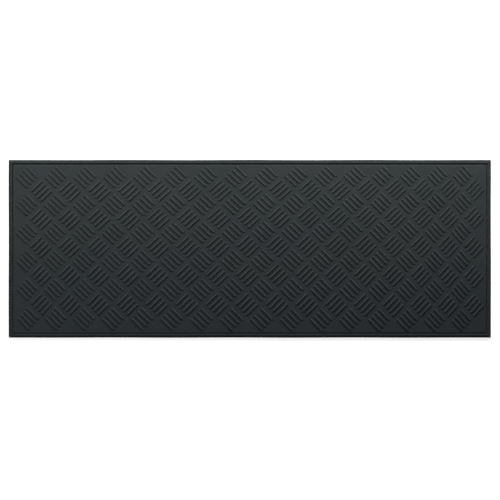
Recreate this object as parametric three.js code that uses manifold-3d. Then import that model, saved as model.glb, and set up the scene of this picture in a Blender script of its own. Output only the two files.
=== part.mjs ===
// Rubber door mat with a chequer tread, laid up from six rubber pieces: a studded
// backing sheet, a tread sheet with raised bars, and four mitred rim strips.
// Millimetres, +Z up, +X along the mat, origin on the floor under its middle.
import * as THREE from "three";
import { mergeGeometries, mergeVertices } from "three/addons/utils/BufferGeometryUtils.js";
import Module from "manifold-3d";

// The whole mat, as it lies on the floor.
const LENGTH = 1200;
const WIDTH = 442;
const HEIGHT = 7;

// Backing sheet: its studs stand on the floor and carry it.
const BACKING_THICKNESS = 2;
const STUD_HEIGHT = 1;
const STUD_RADIUS = 5;
const STUD_PITCH = 60;
const STUD_SIDES = 6;

// Tread sheet, bonded on the backing inside the rim.
const TREAD_THICKNESS = 1.7;
const BOND_LINE = 0.3;

// Rim strip: a wall down to the floor and a flange over the backing's edge. Its top
// slopes down outwards from the crest and turns over a shoulder into the wall.
const RIM_WIDTH = 9.4;
const RIM_WALL = 3.5;
const RIM_WALL_TOP = 3;
const RIM_SHOULDER = 1;
const RIM_FALL = 0.4;
const RIM_INNER_ROUND = 1.8;
const ROUND_STEPS = 6;
const MITRE_GAP = 0.3;
const GROOVE_WIDTH = 1.8;

// Raised bars, in tiles of four that turn by a right angle from tile to tile.
const BAR_LENGTH = 40;
const BAR_WIDTH = 5.6;
const BAR_END_SLOPE = 2;
const BAR_PITCH = 11.6;
const BARS_PER_TILE = 4;
const TILE_STEP_X = 35.9;
const TILE_STEP_Y = 35.6;
const TILE_EDGE_MARGIN = 0.5;

// How far the warm sheet creeps towards +X and +Y as it is pulled off its mould: all of it
// by the shift, its middle by more (unevenly so towards +X and +Y), its corners by the twist.
const CREEP_X = { shift: 3.8, middle: 12.9, right: 22.7, back: 5.4, bow: 2.5, twist: 1.5 };
const CREEP_Y = { shift: 2.1, middle: 2.4, right: 4.8, ends: 2.5, shear: 2.4, twist: 2.1 };

// Sizes that follow from those above.
const backingTop = STUD_HEIGHT + BACKING_THICKNESS;
const treadBottom = backingTop + BOND_LINE;
const treadTop = treadBottom + TREAD_THICKNESS;
const barHeight = HEIGHT - treadTop;
const treadLength = LENGTH - 2 * (RIM_WIDTH + GROOVE_WIDTH);
const treadWidth = WIDTH - 2 * (RIM_WIDTH + GROOVE_WIDTH);
const barAngle = Math.atan2(TILE_STEP_Y, TILE_STEP_X);
const tileAcross = (BARS_PER_TILE - 1) * BAR_PITCH + BAR_WIDTH;
const tileReachX = (BAR_LENGTH * Math.cos(barAngle) + tileAcross * Math.sin(barAngle)) / 2;
const tileReachY = (BAR_LENGTH * Math.sin(barAngle) + tileAcross * Math.cos(barAngle)) / 2;
const stepsAlong = tileSteps(treadLength, tileReachX, TILE_STEP_X, creepX);
const stepsAcross = tileSteps(treadWidth, tileReachY, TILE_STEP_Y, (v, u) => creepY(u, v));
const halfSpanX = (stepsAlong * TILE_STEP_X) / 2;
const halfSpanY = (stepsAcross * TILE_STEP_Y) / 2;

const wasm = await Module();
wasm.setup();

// The creep of a point whose place in the pattern is u along and v across, each -1 to 1
// between the outermost tiles' centres.
function creepX(u, v) {
  const { shift, middle, right, back, bow, twist } = CREEP_X;
  const along = (1 - u * u) * (middle + right * u + back * v);
  return shift + along - bow * (1 - v * v) + twist * u * v;
}

function creepY(u, v) {
  const { shift, middle, right, ends, shear, twist } = CREEP_Y;
  const across = ends + shear * u * v + (1 - u * u) * (middle + right * u);
  return shift + (1 - v * v) * across + twist * u * v;
}

// The steps from the first tile to the last along a side: as many as keep both end tiles,
// once crept, clear of the sheet's edges at their corners and in between.
function tileSteps(side, reach, step, creep) {
  const edge = side / 2 - TILE_EDGE_MARGIN;
  const clear = (span, end, other) => {
    const share = (end * (span + reach)) / span;
    return Math.abs(share * span + creep(share, other)) < edge;
  };
  const fits = (span) => [-1, 1].every((end) => [-1, 0, 1].every((other) => clear(span, end, other)));
  let steps = Math.floor((side - 2 * reach) / step);
  while (!fits((steps * step) / 2)) {
    steps -= 1;
  }
  return steps;
}

function rubber(color, roughness) {
  return new THREE.MeshStandardMaterial({ color, roughness, metalness: 0 });
}

function named(name, geometry, material) {
  const mesh = new THREE.Mesh(geometry, material);
  mesh.name = name;
  return mesh;
}

// The same geometry with nothing but its positions.
function bareGeometry(geometry) {
  const bare = new THREE.BufferGeometry();
  bare.setAttribute("position", geometry.getAttribute("position"));
  bare.setIndex(geometry.getIndex());
  return bare;
}

// Convex polygons, each a list of points in order, as triangles.
function facesGeometry(polygons) {
  const points = [];
  for (const polygon of polygons) {
    for (let i = 2; i < polygon.length; i++) {
      points.push(polygon[0], polygon[i - 1], polygon[i]);
    }
  }
  return new THREE.BufferGeometry().setFromPoints(points);
}

// A closed geometry as a manifold-3d solid.
function solidOf(geometry) {
  const merged = mergeVertices(bareGeometry(geometry), 1e-4);
  return new wasm.Manifold(
    new wasm.Mesh({
      numProp: 3,
      vertProperties: merged.getAttribute("position").array,
      triVerts: new Uint32Array(merged.getIndex().array),
    }),
  );
}

function geometryOf(solid) {
  const mesh = solid.getMesh();
  const geometry = new THREE.BufferGeometry();
  geometry.setAttribute("position", new THREE.BufferAttribute(mesh.vertProperties, 3));
  geometry.setIndex(new THREE.BufferAttribute(mesh.triVerts, 1));
  geometry.computeVertexNormals();
  return geometry;
}

// The backing: a plain sheet with a grid of studs under it, one of them at the middle.
function backingGeometry() {
  const length = LENGTH - 2 * (RIM_WALL + BOND_LINE);
  const width = WIDTH - 2 * (RIM_WALL + BOND_LINE);
  const sheet = new THREE.BoxGeometry(length, width, BACKING_THICKNESS);
  sheet.translate(0, 0, STUD_HEIGHT + BACKING_THICKNESS / 2);

  const root = BACKING_THICKNESS / 2;
  const along = Math.floor((treadLength / 2 - STUD_RADIUS) / STUD_PITCH);
  const across = Math.floor((treadWidth / 2 - STUD_RADIUS) / STUD_PITCH);
  const studs = [];
  for (let i = -along; i <= along; i++) {
    for (let j = -across; j <= across; j++) {
      const stud = new THREE.CylinderGeometry(
        STUD_RADIUS, STUD_RADIUS, STUD_HEIGHT + root, STUD_SIDES,
      );
      stud.rotateX(Math.PI / 2);
      stud.translate(i * STUD_PITCH, j * STUD_PITCH, (STUD_HEIGHT + root) / 2);
      studs.push(stud);
    }
  }
  return geometryOf(solidOf(sheet).add(solidOf(mergeGeometries(studs))));
}

// One bar: the corners of its foot on the sheet, and the ends of its crest, all crept.
function barPoints(centreX, centreY, angle) {
  const cos = Math.cos(angle);
  const sin = Math.sin(angle);
  const at = (along, across, z) => {
    const x = centreX + along * cos - across * sin;
    const y = centreY + along * sin + across * cos;
    const u = x / halfSpanX;
    const v = y / halfSpanY;
    return new THREE.Vector3(x + creepX(u, v), y + creepY(u, v), z);
  };
  const end = BAR_LENGTH / 2;
  const side = BAR_WIDTH / 2;
  return {
    foot: [
      at(-end, -side, treadTop), at(end, -side, treadTop),
      at(end, side, treadTop), at(-end, side, treadTop),
    ],
    crest: [at(-end + BAR_END_SLOPE, 0, HEIGHT), at(end - BAR_END_SLOPE, 0, HEIGHT)],
  };
}

// Every bar: a tile at every second step, with the rows between staggered.
function treadBars() {
  const bars = [];
  for (let row = 0; row <= stepsAcross; row++) {
    const odd = row % 2;
    const angle = odd ? barAngle : -barAngle;
    const y = halfSpanY - row * TILE_STEP_Y;
    for (let column = odd; column <= stepsAlong; column += 2) {
      const x = column * TILE_STEP_X - halfSpanX;
      for (let k = 0; k < BARS_PER_TILE; k++) {
        const offset = (k - (BARS_PER_TILE - 1) / 2) * BAR_PITCH;
        bars.push(barPoints(x - offset * Math.sin(angle), y + offset * Math.cos(angle), angle));
      }
    }
  }
  return bars;
}

// The tread sheet: its top face is open under each bar, and the bar's roof closes the opening.
function treadGeometry() {
  const x = treadLength / 2;
  const y = treadWidth / 2;
  const rectangle = [[-x, -y], [x, -y], [x, y], [-x, y]];
  const top = new THREE.Shape(rectangle.map(([a, b]) => new THREE.Vector2(a, b)));
  const upper = rectangle.map(([a, b]) => new THREE.Vector3(a, b, treadTop));
  const lower = rectangle.map(([a, b]) => new THREE.Vector3(a, b, treadBottom));

  const polygons = [[lower[3], lower[2], lower[1], lower[0]]];
  for (let i = 0; i < 4; i++) {
    const next = (i + 1) % 4;
    polygons.push([lower[i], lower[next], upper[next], upper[i]]);
  }
  for (const { foot, crest } of treadBars()) {
    top.holes.push(new THREE.Path(foot));
    polygons.push(
      [foot[0], foot[1], crest[1], crest[0]],
      [foot[1], foot[2], crest[1]],
      [foot[2], foot[3], crest[0], crest[1]],
      [foot[3], foot[0], crest[0]],
    );
  }
  const topFace = bareGeometry(new THREE.ShapeGeometry(top).toNonIndexed());
  topFace.translate(0, 0, treadTop);
  const sheet = mergeVertices(mergeGeometries([topFace, facesGeometry(polygons)]), 1e-4);
  sheet.computeVertexNormals();
  return sheet;
}

// The rim's section: x runs inwards from the outer face, y runs up from the floor.
function rimSection() {
  const flangeBottom = backingTop + BOND_LINE;
  const shape = new THREE.Shape();
  shape.moveTo(0, 0);
  shape.lineTo(RIM_WALL, 0);
  shape.lineTo(RIM_WALL, flangeBottom);
  shape.lineTo(RIM_WIDTH, flangeBottom);
  shape.absarc(
    RIM_WIDTH - RIM_INNER_ROUND, HEIGHT - RIM_INNER_ROUND, RIM_INNER_ROUND,
    0, Math.PI / 2, false,
  );
  shape.quadraticCurveTo(RIM_SHOULDER, HEIGHT - RIM_FALL, 0, RIM_WALL_TOP);
  shape.lineTo(0, 0);
  return shape;
}

// A strip along +X whose outer face looks to -Y, mitred where it meets its neighbours.
function rimGeometry(side) {
  const strip = new THREE.ExtrudeGeometry(rimSection(), {
    depth: side,
    steps: 1,
    curveSegments: ROUND_STEPS,
    bevelEnabled: false,
  });
  const position = strip.getAttribute("position");
  for (let i = 0; i < position.count; i++) {
    const inwards = position.getX(i);
    const up = position.getY(i);
    const end = position.getZ(i) > side / 2 ? 1 : -1;
    position.setXYZ(i, end * (side / 2 - inwards - MITRE_GAP / 2), inwards, up);
  }
  return strip;
}

const mat = new THREE.Group();

mat.add(named("backing_sheet", backingGeometry(), rubber(0x24282a, 0.85)));
mat.add(named("tread_sheet", treadGeometry(), rubber(0x2e3334, 0.6)));

const rimMaterial = rubber(0x2c3132, 0.55);
const rims = [
  { name: "rim_front", side: LENGTH, distance: WIDTH / 2, turn: 0 },
  { name: "rim_right", side: WIDTH, distance: LENGTH / 2, turn: 1 },
  { name: "rim_back", side: LENGTH, distance: WIDTH / 2, turn: 2 },
  { name: "rim_left", side: WIDTH, distance: LENGTH / 2, turn: 3 },
];
for (const { name, side, distance, turn } of rims) {
  const strip = named(name, rimGeometry(side), rimMaterial);
  strip.position.y = -distance;
  const corner = new THREE.Group();
  corner.rotation.z = (turn * Math.PI) / 2;
  corner.add(strip);
  mat.add(corner);
}

export default mat;
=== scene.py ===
import math

import bpy
import numpy as np
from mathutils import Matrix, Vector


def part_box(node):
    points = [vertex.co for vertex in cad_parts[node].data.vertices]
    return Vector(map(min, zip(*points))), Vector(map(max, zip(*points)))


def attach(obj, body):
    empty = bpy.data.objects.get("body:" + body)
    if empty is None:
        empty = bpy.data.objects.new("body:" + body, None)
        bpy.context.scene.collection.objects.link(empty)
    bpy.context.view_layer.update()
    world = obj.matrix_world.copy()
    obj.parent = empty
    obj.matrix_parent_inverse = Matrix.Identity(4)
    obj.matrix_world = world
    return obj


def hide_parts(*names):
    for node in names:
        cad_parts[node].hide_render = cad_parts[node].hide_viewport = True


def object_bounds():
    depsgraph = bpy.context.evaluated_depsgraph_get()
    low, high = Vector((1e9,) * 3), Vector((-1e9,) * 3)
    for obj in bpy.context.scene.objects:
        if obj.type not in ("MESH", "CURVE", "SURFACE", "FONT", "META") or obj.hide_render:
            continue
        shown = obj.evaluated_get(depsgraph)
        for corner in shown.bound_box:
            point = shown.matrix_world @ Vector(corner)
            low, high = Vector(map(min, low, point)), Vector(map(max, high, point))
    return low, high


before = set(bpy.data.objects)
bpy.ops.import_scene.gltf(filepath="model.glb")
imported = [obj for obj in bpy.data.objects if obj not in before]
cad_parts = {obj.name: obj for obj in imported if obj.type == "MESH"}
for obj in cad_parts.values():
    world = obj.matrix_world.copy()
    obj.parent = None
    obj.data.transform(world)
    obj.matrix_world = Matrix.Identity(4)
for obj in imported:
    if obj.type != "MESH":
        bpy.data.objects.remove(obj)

cad_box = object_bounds()

# ---------------------------------------------------------------------------------------
# Backing sheet. Pressed rubber, 2 mm thick, with a grid of low round studs that stand on
# the floor and grip it. It is laid first, face down in the press, and takes the imprint of
# the press cloth. The tread and the rim are bonded on top of it.

BACKING_THICKNESS = 0.002
BACKING_EDGE_ROUND = 0.0006
BACKING_GRID = 0.02
EDGE_POINTS = 4
STUD_RADIUS = 0.005
STUD_PITCH = 0.06
STUD_POINTS_PER_END = 8
# A stud's outline: distances inwards from its side, from its root to its flat end, and its
# heights over the floor below the root, as shares of its own. The root is let into the sheet
# by STUD_ROOT of the sheet's thickness.
STUD_INWARDS = (-0.0009, -0.00045, 0, 0.0002, 0.0006)
STUD_LEVELS = (1, 0.35, 0.08, 0)
STUD_ROOT = 0.3
CREASE = math.radians(40)

BACKING_BLACK = (0.017, 0.018, 0.018, 1)
BACKING_BLOOM = (0.03, 0.031, 0.031, 1)
BACKING_SPECK = (0.12, 0.115, 0.105, 1)
BACKING_RUBBED = (0.045, 0.045, 0.044, 1)
# The groove dust is partly painted light: it is pale enough to lift the groove's shade.
GROOVE_DUST_AND_PAINTED_LIGHT = (0.21, 0.215, 0.21, 1)
PRESS_CLOTH_PITCH = 0.0016
BACKING_RELIEF = 0.00012

low, high = (np.array(corner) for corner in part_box("backing_sheet"))
backing_half = (high - low)[:2] / 2
backing_top = high[2]
backing_bottom = backing_top - BACKING_THICKNESS
tread_low, tread_high = (np.array(corner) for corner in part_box("tread_sheet"))
tread_half = (tread_high - tread_low)[:2] / 2


def grid_faces(rows, columns, wrap=False):
    """Quads of a grid of points stored row by row: point (i, j) is number i * columns + j.
    Each quad runs (i, j), (i, j+1), (i+1, j+1), (i+1, j). wrap joins the last column to
    the first."""
    j = np.arange(columns if wrap else columns - 1)
    i = np.arange(rows - 1)[:, None] * columns
    k = (j + 1) % columns
    return np.stack([i + j, i + k, i + k + columns, i + j + columns], axis=-1).reshape(-1, 4)


def sheet_lines(half, step, edge_round):
    """Places of grid lines from -half to half: about a step apart, and closer over the
    rounded edges, where they follow a quarter circle's cosine."""
    turn = edge_round * (1 - np.cos(np.linspace(0, math.pi / 2, EDGE_POINTS)))
    inner = np.linspace(-half + edge_round, half - edge_round, round(2 * half / step))
    return np.concatenate([-half + turn[:-1], inner, half - turn[:-1][::-1]])


def plate(half, step, bottom, top, edge_round, rise):
    """A sheet as two grids over one plan, joined round the edge. With a rounded edge of
    radius r, the drop at a distance d < r from the edge is r - sqrt(r^2 - (r - d)^2). The
    upper face is at top plus the rise less the drop, the lower at bottom plus both."""
    x = sheet_lines(half[0], step, edge_round)
    y = sheet_lines(half[1], step, edge_round)
    x, y = np.meshgrid(x, y, indexing="ij")
    inside = np.minimum(half[0] - abs(x), half[1] - abs(y))
    short = np.clip(edge_round - inside, 0, edge_round)
    drop = edge_round - np.sqrt(edge_round ** 2 - short ** 2)
    upper = np.stack([x, y, top + rise(x, y) - drop], axis=-1)
    lower = np.stack([x, y, bottom + rise(x, y) + drop], axis=-1)
    rows, columns = x.shape
    faces = grid_faces(rows, columns)
    count = rows * columns
    number = np.arange(count).reshape(rows, columns)
    rim = np.concatenate([number[:, 0], number[-1, 1:], number[-2::-1, -1], number[0, -2:0:-1]])
    after = np.roll(rim, -1)
    sides = np.stack([rim, rim + count, after + count, after], axis=-1)
    points = np.concatenate([upper.reshape(-1, 3), lower.reshape(-1, 3)])
    return points, np.concatenate([faces[:, ::-1], faces + count, sides])


def mound(length, radius, inwards, heights, points_per_end):
    """A low mound on a capsule plan: rings of the capsule shrunk by inwards, raised to
    heights, from its foot to its flat top, with both ends closed by strips of quads. A round
    mound is as long as it is wide, and its ends stop half a step short of each other."""
    short = math.pi / (2 * points_per_end) if length == 2 * radius else 0
    turn = np.linspace(short - math.pi / 2, math.pi / 2 - short, points_per_end)
    turn = np.concatenate([turn, turn + math.pi])
    shift = (length / 2 - radius) * np.repeat([1, -1], points_per_end)
    shrunk = radius - np.asarray(inwards)[:, None]
    x = shift + shrunk * np.cos(turn)
    y = shrunk * np.sin(turn)
    z = np.broadcast_to(np.asarray(heights)[:, None], x.shape)
    ring = 2 * points_per_end
    k = np.arange(points_per_end // 2 - 1)
    end = np.stack([k, k + 1, points_per_end - 2 - k, points_per_end - 1 - k], axis=-1)
    middle = [[ring - 1, 0, points_per_end - 1, points_per_end]]
    cap = np.concatenate([end, end + points_per_end, middle])
    sides = grid_faces(len(heights), ring, wrap=True)
    faces = np.concatenate([sides, cap + (len(heights) - 1) * ring, cap[:, ::-1]])
    return np.stack([x, y, z], axis=-1).reshape(-1, 3), faces


def joined(*shells):
    """Several sets of points and faces as one."""
    starts = np.cumsum([0] + [len(points) for points, _ in shells])
    faces = [faces + start for (_, faces), start in zip(shells, starts)]
    return np.concatenate([points for points, _ in shells]), np.concatenate(faces)


def repeated(points, faces, copies):
    """One set of faces for each of a number of equal sets of points."""
    starts = np.arange(copies)[:, None, None] * len(points)
    return (faces + starts).reshape(-1, faces.shape[1])


def piece(name, points, faces, finish, slot, *nodes):
    """Makes the mesh, smooth but for edges sharper than CREASE, and puts it in the frame."""
    mesh = bpy.data.meshes.new(name)
    mesh.from_pydata(points.tolist(), [], [list(face) for face in faces])
    mesh.validate()
    mesh.shade_smooth()
    mesh.set_sharp_from_angle(angle=CREASE)
    mesh.materials.append(finish)
    made = bpy.data.objects.new(name, mesh)
    bpy.context.scene.collection.objects.link(made)
    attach(made, "root")
    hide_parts(*nodes)
    return made


def level(x, y):
    """No rise anywhere."""
    return np.zeros_like(x)


def studs():
    """One round mound for each place of the grid, upside down, from the sheet to the floor."""
    root = backing_bottom + STUD_ROOT * BACKING_THICKNESS
    heights = [-root, *(-backing_bottom * np.array(STUD_LEVELS))]
    points, faces = mound(2 * STUD_RADIUS, STUD_RADIUS, STUD_INWARDS, heights, STUD_POINTS_PER_END)
    along, across = np.floor((tread_half - STUD_RADIUS) / STUD_PITCH).astype(int)
    i, j = np.mgrid[-along:along + 1, -across:across + 1]
    centres = STUD_PITCH * np.stack([i, j, 0 * i], axis=-1).reshape(-1, 1, 3)
    upside_down = points * [1, -1, -1]
    placed = (centres + upside_down).reshape(-1, 3)
    return placed, repeated(points, faces, len(centres))


class Value:
    """A socket whose number, vector or colour varies over a surface. Sums on it add Math
    nodes."""

    def __init__(self, finish, socket):
        self.finish = finish
        self.socket = socket

    def math(self, operation, *terms):
        sockets = dict(enumerate(terms))
        return self.finish.node("ShaderNodeMath", {"operation": operation}, sockets)

    def __add__(self, other):
        return self.math("ADD", self, other)

    def __sub__(self, other):
        return self.math("SUBTRACT", self, other)

    def __rsub__(self, other):
        return self.math("SUBTRACT", other, self)

    def __mul__(self, other):
        return self.math("MULTIPLY", self, other)

    def __truediv__(self, other):
        return self.math("DIVIDE", self, other)

    __radd__ = __add__
    __rmul__ = __mul__

    def sine(self):
        return self.math("SINE", self)

    def absolute(self):
        return self.math("ABSOLUTE", self)

    def ramp(self, start, end):
        """0 up to start, 1 from end on, and a smooth step between."""
        sockets = {"Value": self, "From Min": start, "From Max": end}
        settings = {"interpolation_type": "SMOOTHSTEP"}
        return self.finish.node("ShaderNodeMapRange", settings, sockets)


class Finish:
    """A material whose patterns lie in the mat's own coordinates, in metres. The constants go
    on the shader's own sockets."""

    def __init__(self, name, **constants):
        self.material = bpy.data.materials.new(name)
        self.material.use_nodes = True
        self.tree = self.material.node_tree
        self.tree.nodes.clear()
        self.place = self.node("ShaderNodeTexCoord", out="Object")
        self.x, self.y, self.z = (
            self.node("ShaderNodeSeparateXYZ", {}, {0: self.place}, axis) for axis in "XYZ")
        self.shader = self.node("ShaderNodeBsdfPrincipled", {}, constants)
        self.node("ShaderNodeOutputMaterial", {}, {"Surface": self.shader}, None)

    def node(self, kind, settings=None, sockets=None, out=0):
        """Adds a node, sets its settings, fills or links its sockets, and gives its output."""
        made = self.tree.nodes.new(kind)
        for name, value in (settings or {}).items():
            setattr(made, name, value)
        for name, value in (sockets or {}).items():
            self.feed(made.inputs[name], value)
        return None if out is None else Value(self, made.outputs[out])

    def feed(self, socket, value):
        if isinstance(value, Value):
            self.tree.links.new(value.socket, socket)
        else:
            socket.default_value = value

    def noise(self, size, detail=2, stretch=(1, 1, 1)):
        """Noise from 0 to 1 whose patches are about size across, times stretch."""
        scale = tuple(1 / (size * s) for s in stretch)
        mapped = self.node("ShaderNodeMapping", {}, {"Vector": self.place, "Scale": scale})
        sockets = {"Vector": mapped, "Scale": 1.0, "Detail": detail, "Roughness": 0.55}
        return self.node("ShaderNodeTexNoise", {}, sockets)

    def specks(self, size, share):
        """1 on small round specks about size apart, on the given share of them, else 0."""
        sockets = {0: self.place, "Scale": 1 / size}
        mapped = self.node("ShaderNodeVectorMath", {"operation": "SCALE"}, sockets)
        cells = {"Vector": mapped, "Scale": 1.0}
        near = self.node("ShaderNodeTexVoronoi", {}, cells, "Distance")
        tint = self.node("ShaderNodeTexVoronoi", {}, cells, "Color")
        pick = self.node("ShaderNodeSeparateColor", {}, {0: tint}, 0)
        return (1 - near.ramp(0.08, 0.2)) * (1 - pick.ramp(share, share + 0.01))

    def mix(self, factor, first, second):
        """A colour from first, where factor is 0, to second, where it is 1. The node's colour
        sockets are its inputs 6 and 7 and its output 2."""
        settings = {"data_type": "RGBA"}
        return self.node("ShaderNodeMix", settings, {0: factor, 6: first, 7: second}, 2)

    def finish(self, colour, roughness, height, depth):
        """Joins the colour, the roughness and a relief of height times depth, in metres."""
        shader = self.shader.socket.node
        bump = self.node("ShaderNodeBump", {}, {"Height": height, "Distance": depth})
        self.feed(shader.inputs["Base Color"], colour)
        self.feed(shader.inputs["Roughness"], roughness)
        self.feed(shader.inputs["Normal"], bump)
        return self.material


def backing_rubber():
    """Dull pressed rubber: the imprint of the press cloth, a pale bloom in patches, specks of
    dust, studs whose ends are rubbed smooth, and on top, where the groove between tread and
    rim shows it, a layer of grey dust that is partly painted light, pale enough to lift the
    groove's shade."""
    rubber = Finish("backing_rubber", **{"Specular IOR Level": 0.4})
    weave = 2 * math.pi / PRESS_CLOTH_PITCH
    cloth = (rubber.x * weave).sine() * (rubber.y * weave).sine()
    bloom = rubber.noise(size=0.05, detail=4)
    grain = rubber.noise(size=0.0012, detail=3)
    rubbed = 1 - rubber.z.ramp(0.0, 0.0003)
    sheet = rubber.z.ramp(0.0006, 0.001)
    # Grey dust on the sheet's upper face, seen in the groove; partly painted light, pale enough to
    # lift the groove's shade.
    depth = (backing_top - rubber.z) / BACKING_THICKNESS
    dust_and_painted_light = 1 - depth.ramp(0.1, 0.4)
    colour = rubber.mix(bloom.ramp(0.35, 0.75), BACKING_BLACK, BACKING_BLOOM)
    colour = rubber.mix(rubber.specks(size=0.006, share=0.18) * 0.5, colour, BACKING_SPECK)
    colour = rubber.mix(rubbed * 0.5, colour, BACKING_RUBBED)
    colour = rubber.mix(dust_and_painted_light * (0.6 + 0.4 * bloom), colour, GROOVE_DUST_AND_PAINTED_LIGHT)
    roughness = 0.72 + 0.14 * bloom - 0.25 * rubbed + 0.1 * dust_and_painted_light
    height = cloth * 0.5 * sheet + grain * 0.5
    return rubber.finish(colour, roughness, height, BACKING_RELIEF)


backing_plate = plate(
    backing_half, BACKING_GRID, backing_bottom, backing_top, BACKING_EDGE_ROUND, level)
backing = piece(
    "backing", *joined(backing_plate, studs()), backing_rubber(), "backing_rubber", "backing_sheet")

# ---------------------------------------------------------------------------------------
# Tread sheet. Moulded rubber with raised bars, four to a tile, each tile turned by a right
# angle to the next, to scrape shoes from every side. The sheet crept as it was pulled warm
# off its mould, so that the rows drift. It is bonded on the backing, inside the rim.

BAR_LENGTH = 0.04
BAR_WIDTH = 0.0056
BAR_HEIGHT = 0.002
BAR_PITCH = 0.0116
BARS_PER_TILE = 4
BAR_POINTS_PER_END = 6
# A bar's outline from its foot to its flat top: distances inwards from its side, and heights
# over the sheet as shares of its own.
BAR_INWARDS = (0, 0.0005, 0.00095, 0.0015, 0.0023)
BAR_LEVELS = (-0.05, 0.06, 0.68, 0.94, 1)
TILE_STEP = np.array([0.0359, 0.0356])
TILE_STEPS = np.array([31, 10])
TREAD_EDGE_ROUND = 0.0005
TREAD_GRID = 0.006
LIE_WAVE = 0.00004

CREEP_X = {
    "shift": 0.0038, "middle": 0.0129, "right": 0.0227,
    "back": 0.0054, "bow": 0.0025, "twist": 0.0015,
}
CREEP_Y = {
    "shift": 0.0021, "middle": 0.0024, "right": 0.0048,
    "ends": 0.0025, "shear": 0.0024, "twist": 0.0021,
}

# The first colour is painted shade: the near black put on the bars' steep flanks.
TREAD_PAINTED_SHADE = (0.004, 0.005, 0.0055, 1)
TREAD_DARK = (0.0185, 0.0255, 0.028, 1)
TREAD_PALE = (0.0265, 0.0345, 0.037, 1)
TREAD_GREEN = (0.0205, 0.031, 0.0295, 1)
TREAD_BLUE = (0.016, 0.0235, 0.031, 1)
TREAD_WARM = (0.0325, 0.0335, 0.0315, 1)
TREAD_RUBBED = (0.037, 0.043, 0.0435, 1)
TREAD_SPECK = (0.1, 0.1, 0.095, 1)
TREAD_RELIEF = 0.00026

tread_top = tread_high[2] - BAR_HEIGHT
tread_bottom = tread_low[2]


def lie(x, y):
    """How far the tread rises from dead flat, never below 0: the sum of three slow waves in
    different directions, each LIE_WAVE from trough to crest."""
    waves = np.sin(17 * x + 9 * y) + np.sin(-11 * x + 23 * y + 1) + np.sin(29 * x - 6 * y + 2)
    return LIE_WAVE * (waves + 3) / 2


def crept(points):
    """Moves pattern points to where they lie on the finished sheet. With u and v from -1 to
    1 between the outermost tiles,
    x gains shift + (1 - u^2)(middle + right u + back v) - bow (1 - v^2) + twist u v, and
    y gains shift + (1 - v^2)(ends + shear u v + (1 - u^2)(middle + right u)) + twist u v."""
    x, y, z = np.moveaxis(points, -1, 0)
    u, v = x / (TILE_STEPS[0] * TILE_STEP[0] / 2), y / (TILE_STEPS[1] * TILE_STEP[1] / 2)
    along = (1 - u ** 2) * (CREEP_X["middle"] + CREEP_X["right"] * u + CREEP_X["back"] * v)
    across = (1 - u ** 2) * (CREEP_Y["middle"] + CREEP_Y["right"] * u)
    across = (1 - v ** 2) * (CREEP_Y["ends"] + CREEP_Y["shear"] * u * v + across)
    x = x + CREEP_X["shift"] + along - CREEP_X["bow"] * (1 - v ** 2) + CREEP_X["twist"] * u * v
    y = y + CREEP_Y["shift"] + across + CREEP_Y["twist"] * u * v
    return np.stack([x, y, z + lie(x, y)], axis=-1)


def tread_bars():
    """One mound turned and moved to each bar's place. Tiles stand where column and row are
    both even or both odd, and lean down to the right in the even rows."""
    heights = BAR_HEIGHT * np.array(BAR_LEVELS)
    points, faces = mound(BAR_LENGTH, BAR_WIDTH / 2, BAR_INWARDS, heights, BAR_POINTS_PER_END)
    column, row = np.mgrid[0:TILE_STEPS[0] + 1, 0:TILE_STEPS[1] + 1]
    kept = (column - row) % 2 == 0
    column, row = column[kept], row[kept]
    lean = np.arctan2(TILE_STEP[1], TILE_STEP[0]) * np.where(row % 2 == 0, -1, 1)
    x = (column - TILE_STEPS[0] / 2) * TILE_STEP[0]
    y = (TILE_STEPS[1] / 2 - row) * TILE_STEP[1]
    offset = (np.arange(BARS_PER_TILE) - (BARS_PER_TILE - 1) / 2) * BAR_PITCH
    x, y, lean, offset = (a[..., None] for a in np.broadcast_arrays(
        x[:, None], y[:, None], lean[:, None], offset[None, :]))
    along, across = points[:, 0], points[:, 1] + offset
    placed = np.stack([
        x + along * np.cos(lean) - across * np.sin(lean),
        y + along * np.sin(lean) + across * np.cos(lean),
        np.broadcast_to(tread_top + points[:, 2], across.shape),
    ], axis=-1)
    return crept(placed).reshape(-1, 3), repeated(points, faces, placed[..., 0, 0].size)


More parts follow.
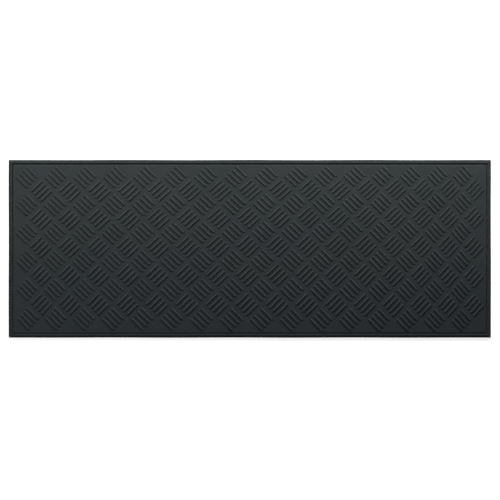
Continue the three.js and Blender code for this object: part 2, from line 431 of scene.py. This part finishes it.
def tread_rubber():
    """Moulded black rubber under a bloom, with painted shade on the bars' steep flanks: they are
    painted near black, darker than the level faces and the bar tops. It is bluer towards the
    front, with warm patches at the back and greenish ones all over. Rubbed bar tops are
    smoother, shoes have left dull scuffs, and all of it has a pebbled grain."""
    rubber = Finish("tread_rubber", **{"Specular IOR Level": 0.45})
    bar_level = (rubber.z - tread_top) / BAR_HEIGHT
    tops = bar_level.ramp(0.6, 0.98)
    plain = 1 - bar_level.ramp(0.1, 0.3)
    patches = rubber.noise(size=0.1, detail=3)
    back = rubber.y.ramp(-0.9 * tread_half[1], 0.7 * tread_half[1])
    warmth = rubber.noise(size=0.24, detail=2).ramp(0.4, 0.66) * back
    green = rubber.noise(size=0.15, detail=2, stretch=(1.3, 1, 1)).ramp(0.42, 0.62)
    mottle = rubber.noise(size=0.012, detail=3)
    pull = rubber.noise(size=0.006, detail=3, stretch=(9, 1, 1))
    grain = rubber.noise(size=0.0017, detail=4)
    scuffs = rubber.noise(size=0.004, detail=4, stretch=(1, 8, 1)).ramp(0.52, 0.7)
    scuffs += rubber.noise(size=0.004, detail=4, stretch=(8, 1, 1)).ramp(0.56, 0.74)
    shade = patches.ramp(0.3, 0.7) * 0.5 + mottle.ramp(0.3, 0.7) * 0.3 + pull.ramp(0.3, 0.7) * 0.2
    bloom = rubber.mix(shade, TREAD_DARK, TREAD_PALE)
    bloom = rubber.mix(green * 0.5, bloom, TREAD_GREEN)
    bloom = rubber.mix((1 - back) * 0.6, bloom, TREAD_BLUE)
    bloom = rubber.mix(warmth * 0.5, bloom, TREAD_WARM)
    bloom = rubber.mix(tops * 0.15, bloom, TREAD_RUBBED)
    # Painted shade: the bars' steep flanks, between the level faces and the bar tops, get the
    # near-black colour, standing for the shade on them.
    free_of_painted_shade = plain + tops
    colour = rubber.mix(free_of_painted_shade * 0.75 + 0.25, TREAD_PAINTED_SHADE, bloom)
    colour = rubber.mix(rubber.specks(size=0.009, share=0.1) * plain * 0.3, colour, TREAD_SPECK)
    roughness = 0.58 + 0.1 * mottle - 0.09 * tops + 0.05 * pull + 0.07 * scuffs
    height = grain * 0.6 + mottle * 0.4
    return rubber.finish(colour, roughness, height, TREAD_RELIEF)


tread_plate = plate(tread_half, TREAD_GRID, tread_bottom, tread_top, TREAD_EDGE_ROUND, lie)
tread = piece(
    "tread", *joined(tread_plate, tread_bars()), tread_rubber(), "tread_rubber", "tread_sheet")

# ---------------------------------------------------------------------------------------
# Rim. Four extruded rubber strips, cut to a mitre at the corners and bonded over the
# backing's edge. Each has a wall down to the floor, a thin flange over the backing, and a
# top that slopes down outwards from a rounded crest so that nobody trips on it.

RIM_WALL = 0.0035
RIM_WALL_TOP = 0.003
RIM_SHOULDER = 0.001
RIM_FALL = 0.0004
RIM_CREST_ROUND = 0.0018
RIM_FLASH = 0.00012
RIM_FOOT_ROUND = 0.0004
MITRE_GAP = 0.0003
STATION_STEP = 0.012
CREST_POINTS = 7
SLOPE_POINTS = 13
FOOT_POINTS = 4
# How far a strip's outer face sways and its top rises, and how fast each wave runs along it,
# in radians per metre.
RIM_SWAY = 0.00022
RIM_SWAY_WAVE = 21
RIM_RISE = 0.00007
RIM_RISE_WAVE = 33

# The first colour is painted shade: the near black put on the rim's shoulder and wall.
RIM_PAINTED_SHADE = (0.004, 0.0045, 0.005, 1)
RIM_DARK = (0.027, 0.034, 0.035, 1)
RIM_PALE = (0.037, 0.044, 0.045, 1)
RIM_SCUFFED = (0.055, 0.058, 0.057, 1)
RIM_CREST_DEPTH = 0.0008
RIM_LINE = 0.0012
MITRE_BLEND = 0.0005
RIM_RELIEF = 0.0001

rim_low, rim_high = (np.array(corner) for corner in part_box("rim_front"))
rim_width = rim_high[1] - rim_low[1]
rim_top = rim_high[2]
mat_half = np.array([cad_box[1][0] - cad_box[0][0], cad_box[1][1] - cad_box[0][1]]) / 2
flange_bottom = tread_bottom


def rim_section():
    """The strip's outline, as distance inwards from its outer face and height: up the inner
    face of the wall, out under the flange, round the crest on a quarter circle, down the top
    on a parabola to the wall, over a fine flash line, and down to a rounded foot."""
    crest = rim_width - RIM_CREST_ROUND
    turn = np.linspace(0, math.pi / 2, CREST_POINTS)
    t = np.linspace(0, 1, SLOPE_POINTS)[1:]
    slope = np.stack([
        (1 - t) ** 2 * crest + 2 * t * (1 - t) * RIM_SHOULDER,
        (1 - t) ** 2 * rim_top + 2 * t * (1 - t) * (rim_top - RIM_FALL) + t ** 2 * RIM_WALL_TOP,
    ], axis=-1)
    foot = math.pi + np.linspace(0, math.pi / 2, FOOT_POINTS)
    return np.concatenate([
        [[RIM_WALL, 0], [RIM_WALL, flange_bottom], [rim_width, flange_bottom]],
        np.stack([crest + RIM_CREST_ROUND * np.cos(turn),
                  rim_top - RIM_CREST_ROUND * (1 - np.sin(turn))], axis=-1),
        slope,
        [[-RIM_FLASH, RIM_WALL_TOP - RIM_FLASH], [0, RIM_WALL_TOP - 2 * RIM_FLASH]],
        RIM_FOOT_ROUND * (1 + np.stack([np.cos(foot), np.sin(foot)], axis=-1)),
    ])


def rim_strip(side, distance, quarter_turns):
    """The outline carried along a straight line that ends short by its own distance inwards,
    which cuts the mitre. In between, its outer face sways and its top rises by sines of its
    length, and a number of quarter turns brings it to its side of the mat."""
    inwards, up = rim_section().T
    stations = round(side / STATION_STEP)
    share = np.linspace(-1, 1, stations)[:, None]
    x = share * (side / 2 - inwards - MITRE_GAP / 2)
    fade = 1 - share ** 6
    sway = RIM_SWAY * np.sin(RIM_SWAY_WAVE * x + distance * 40 + quarter_turns) * fade
    rise = RIM_RISE * (1 + np.sin(RIM_RISE_WAVE * x + quarter_turns)) * (up / rim_top) ** 2
    y = -distance + inwards + sway * np.clip(1 - inwards / rim_width, 0, 1)
    z = up + rise
    for _ in range(quarter_turns):
        x, y = -y, x
    points = np.stack([x, y, z], axis=-1)
    count = len(inwards)
    faces = [list(face) for face in grid_faces(stations, count, wrap=True)]
    faces.append(list(range(count))[::-1])
    faces.append([(stations - 1) * count + k for k in range(count)])
    return points.reshape(-1, 3), faces


def rim_rubber():
    """Extruded rubber: smoother than the tread, with fine lines drawn along each strip by the
    die, a soft mottling and scuffs on the crest. The steep shoulder and the wall carry painted
    shade, near black, while the top keeps the rubber's grey."""
    rubber = Finish("rim_rubber", **{"Specular IOR Level": 0.12})
    along_y = rubber.noise(RIM_LINE, detail=2, stretch=(1, 60, 1))
    along_x = rubber.noise(RIM_LINE, detail=2, stretch=(60, 1, 1))
    mottle = rubber.noise(size=0.018, detail=3)
    grain = rubber.noise(size=0.001, detail=2)
    from_end = mat_half[0] - rubber.x.absolute()
    from_side = mat_half[1] - rubber.y.absolute()
    end_strips = (from_side - from_end).ramp(-MITRE_BLEND, MITRE_BLEND)
    lines = along_y * end_strips + along_x * (1 - end_strips)
    crest = rubber.z.ramp(rim_top - RIM_CREST_DEPTH, rim_top)
    shade = mottle.ramp(0.3, 0.7) * 0.6 + lines.ramp(0.3, 0.7) * 0.4
    colour = rubber.mix(shade, RIM_DARK, RIM_PALE)
    scuffs = rubber.noise(0.004, 4).ramp(0.55, 0.72) * crest
    colour = rubber.mix(scuffs * 0.3, colour, RIM_SCUFFED)
    # Painted shade: below the top, the steep shoulder and the wall get the near-black colour,
    # standing for the shade on them.
    free_of_painted_shade = rubber.z.ramp(0.74 * rim_top, 0.94 * rim_top)
    colour = rubber.mix(free_of_painted_shade * 0.85 + 0.15, RIM_PAINTED_SHADE, colour)
    roughness = 0.8 + 0.12 * mottle + 0.06 * scuffs - 0.2 * free_of_painted_shade
    return rubber.finish(colour, roughness, lines * 0.6 + grain * 0.4, RIM_RELIEF)


rim_finish = rim_rubber()
for name, side, distance, quarter_turns in (
    ("front", 2 * mat_half[0], mat_half[1], 0),
    ("right", 2 * mat_half[1], mat_half[0], 1),
    ("back", 2 * mat_half[0], mat_half[1], 2),
    ("left", 2 * mat_half[1], mat_half[0], 3),
):
    points, faces = rim_strip(side, distance, quarter_turns)
    piece(f"edging_{name}", points, faces, rim_finish, "rim_rubber", f"rim_{name}")

# ---------------------------------------------------------------------------------------
# The stage: a pale floor whose far edges turn up, two soft lights over the mat's far
# corners, the left one the stronger, a weak strip light behind it, a faint light in front on
# the left, and a camera high above with a long lens, so that the mat shows no perspective.

FLOOR_SIZE = 80
FLOOR_LIP = 2
FLOOR_GLOW = 0.78
SOFT_BOX = (0.4, 0.4)
STRIP_BOX = (0.9, 0.3)
SKY_COLOUR = (0.78, 0.91, 1, 1)
SKY_STRENGTH = 0.055
CAMERA_HEIGHT = 14
SENSOR_WIDTH = 36
MAT_SHARE = 0.9646
VIEW_CENTRE = (0.0006, -0.003)

floor_mesh = bpy.data.meshes.new("floor")
corners = np.array([[-1, -1, 0], [1, -1, 0], [1, 1, 0], [-1, 1, 0]]) * FLOOR_SIZE / 2
top_corners = corners + [0, 0, FLOOR_LIP]
floor_mesh.from_pydata(
    np.concatenate([corners, top_corners]).tolist(),
    [], [(0, 1, 2, 3), (0, 4, 5, 1), (1, 5, 6, 2), (2, 6, 7, 3), (3, 7, 4, 0)])
paper = Finish("floor_paper", **{
    "Base Color": (0.9, 0.9, 0.9, 1), "Roughness": 0.9, "Specular IOR Level": 0.1,
    "Emission Color": (1, 1, 1, 1), "Emission Strength": FLOOR_GLOW,
})
floor_mesh.materials.append(paper.material)
floor = bpy.data.objects.new("floor", floor_mesh)
bpy.context.scene.collection.objects.link(floor)


def soft_light(name, place, size, power):
    """A rectangular area light that faces the middle of the mat."""
    lamp = bpy.data.lights.new(name, "AREA")
    lamp.shape = "RECTANGLE"
    lamp.size, lamp.size_y = size
    lamp.energy = power
    made = bpy.data.objects.new(name, lamp)
    bpy.context.scene.collection.objects.link(made)
    made.location = place
    away = made.location.normalized()
    made.rotation_euler = away.to_track_quat("Z", "Y").to_euler()


soft_light("light_left", place=(-1.1, 1.05, 0.63), size=SOFT_BOX, power=15.2)
soft_light("light_right", place=(1.1, 1.0, 0.55), size=SOFT_BOX, power=12.6)
soft_light("light_back", place=(0.1, 0.85, 0.46), size=STRIP_BOX, power=5.4)
soft_light("light_front", place=(-1.0, -0.7, 0.8), size=SOFT_BOX, power=1.7)

world = bpy.data.worlds.new("studio")
world.use_nodes = True
sky = world.node_tree.nodes["Background"].inputs
sky["Color"].default_value = SKY_COLOUR
sky["Strength"].default_value = SKY_STRENGTH
bpy.context.scene.world = world
bpy.context.scene.view_settings.view_transform = "Standard"

lens = bpy.data.cameras.new("camera")
lens.sensor_width = SENSOR_WIDTH
lens.lens = SENSOR_WIDTH * (CAMERA_HEIGHT - rim_top) * MAT_SHARE / (2 * mat_half[0])
camera = bpy.data.objects.new("camera", lens)
bpy.context.scene.collection.objects.link(camera)
camera.location = (*VIEW_CENTRE, CAMERA_HEIGHT)
bpy.context.scene.camera = camera
